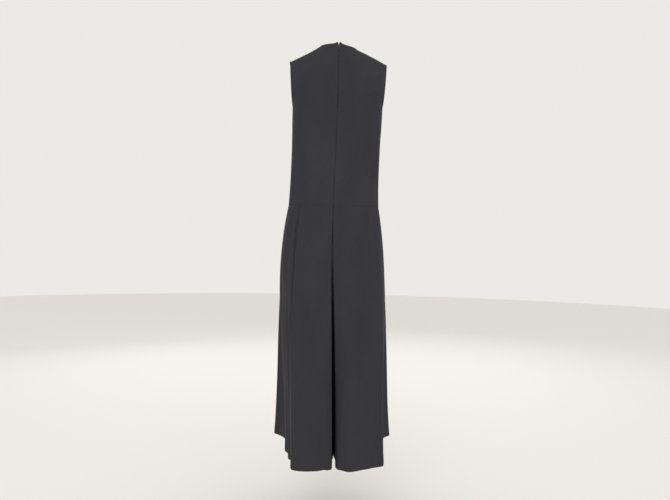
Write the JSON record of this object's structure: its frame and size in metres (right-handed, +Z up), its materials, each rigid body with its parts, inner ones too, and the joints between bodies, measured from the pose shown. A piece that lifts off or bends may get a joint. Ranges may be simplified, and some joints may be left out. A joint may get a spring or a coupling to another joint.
{
  "type": "sleeveless culotte jumpsuit",
  "caption": "Sleeveless high-necked jumpsuit in its worn, hollow form, with a dropped waist, pleated wide legs and a concealed back zip with a pull tab.",
  "frame": {"origin": "where the wearer's shoulders hold the garment, midway between the shoulder seams at their middle height", "axes": "+Z up along the standing body, +Y out of the back, +X towards the wearer's left"},
  "size_m": [0.4007, 0.3645, 1.2882],
  "materials": {
    "crepe": "matt black crepe with a faint soft sheen",
    "zip_tape": "matt black knitted tape with a closed nylon chain",
    "slider_metal": "worn grey enamel",
    "tab_enamel": "black enamel"
  },
  "bodies": {
    "jumpsuit": {"bodice_back_left": "crepe", "bodice_back_right": "crepe", "bodice_front": "crepe", "leg_back_left": "crepe", "leg_front_left": "crepe", "leg_back_right": "crepe", "leg_front_right": "crepe", "zip_tape": "zip_tape", "zip_slider": "slider_metal"},
    "pull_tab": {"zip_pull_tab": "tab_enamel"}
  },
  "joints": [
    {"name": "tab_swing", "type": "hinge", "parent": "jumpsuit", "child": "pull_tab", "pos_m": [-0.00001, 0.05426, 0.01844], "axis": [1, 0, 0], "range_deg": [0, 120]}
  ]
}
